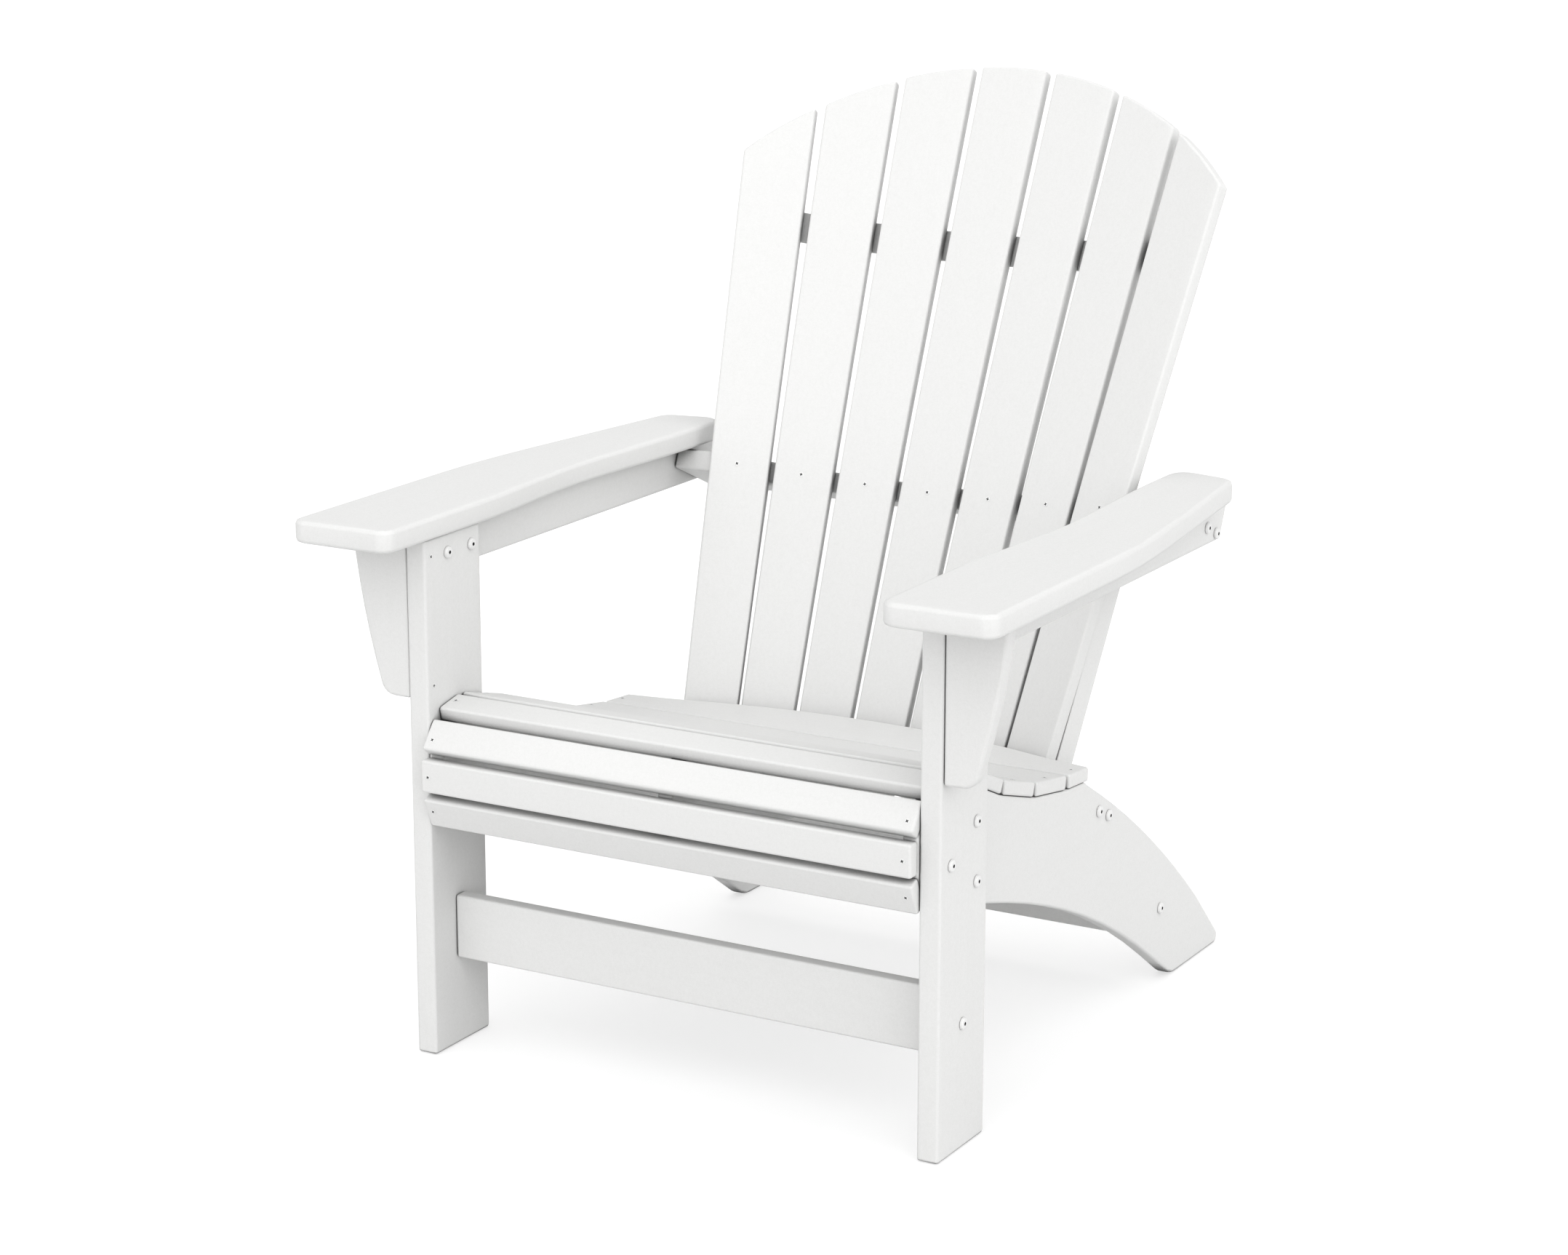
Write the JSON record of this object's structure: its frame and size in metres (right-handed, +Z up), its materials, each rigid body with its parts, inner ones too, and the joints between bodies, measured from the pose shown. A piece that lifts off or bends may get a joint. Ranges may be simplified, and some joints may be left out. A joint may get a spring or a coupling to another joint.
{
  "type": "adirondack chair",
  "caption": "Outdoor lounge chair of flat plastic-lumber boards: reclined fan back with an arched top, curved slatted seat, wide flat armrests and side rails that run down into the rear feet.",
  "frame": {"origin": "ground level under the middle of the chair's overall width and depth", "axes": "+Z up, -Y the way the sitter faces, +X the sitter's left"},
  "size_m": [0.848, 0.9022, 1.043],
  "materials": {
    "lumber": "white moulded plastic lumber with a fine matt grain and softly rounded edges",
    "fastener": "button-head bolts coated white to match the boards"
  },
  "bodies": {
    "root": {"apron_slat_bottom": "lumber", "apron_slat_middle": "lumber", "apron_slat_top": "lumber", "arm_brace": "lumber", "arm_brace_bolt_1_left": "fastener", "arm_brace_bolt_1_right": "fastener", "arm_brace_bolt_2_left": "fastener", "arm_brace_bolt_2_right": "fastener", "arm_bracket_left": "lumber", "arm_bracket_right": "lumber", "arm_rail_bolt_1_left": "fastener", "arm_rail_bolt_1_right": "fastener", "arm_rail_bolt_2_left": "fastener", "arm_rail_bolt_2_right": "fastener", "arm_rail_left": "lumber", "arm_rail_right": "lumber", "armrest_left": "lumber", "armrest_right": "lumber", "back_slat_1": "lumber", "back_slat_2": "lumber", "back_slat_3": "lumber", "back_slat_4": "lumber", "back_slat_5": "lumber", "back_slat_6": "lumber", "back_slat_7": "lumber", "back_upright_left": "lumber", "back_upright_right": "lumber", "centre_rail": "lumber", "front_leg_left": "lumber", "front_leg_right": "lumber", "front_stretcher": "lumber", "front_stretcher_bolt_left": "fastener", "front_stretcher_bolt_right": "fastener", "leg_bolt_1_left": "fastener", "leg_bolt_1_right": "fastener", "leg_bolt_2_left": "fastener", "leg_bolt_2_right": "fastener", "leg_bolt_3_left": "fastener", "leg_bolt_3_right": "fastener", "lower_back_brace": "lumber", "lower_brace_bolt_1_left": "fastener", "lower_brace_bolt_1_right": "fastener", "lower_brace_bolt_2_left": "fastener", "lower_brace_bolt_2_right": "fastener", "rear_stretcher": "lumber", "rear_stretcher_bolt_left": "fastener", "rear_stretcher_bolt_right": "fastener", "seat_slat_1_nose": "lumber", "seat_slat_2": "lumber", "seat_slat_3": "lumber", "seat_slat_4": "lumber", "seat_slat_5": "lumber", "seat_slat_6_rear": "lumber", "side_rail_left": "lumber", "side_rail_right": "lumber", "upper_back_strap": "lumber"}
  },
  "joints": []
}
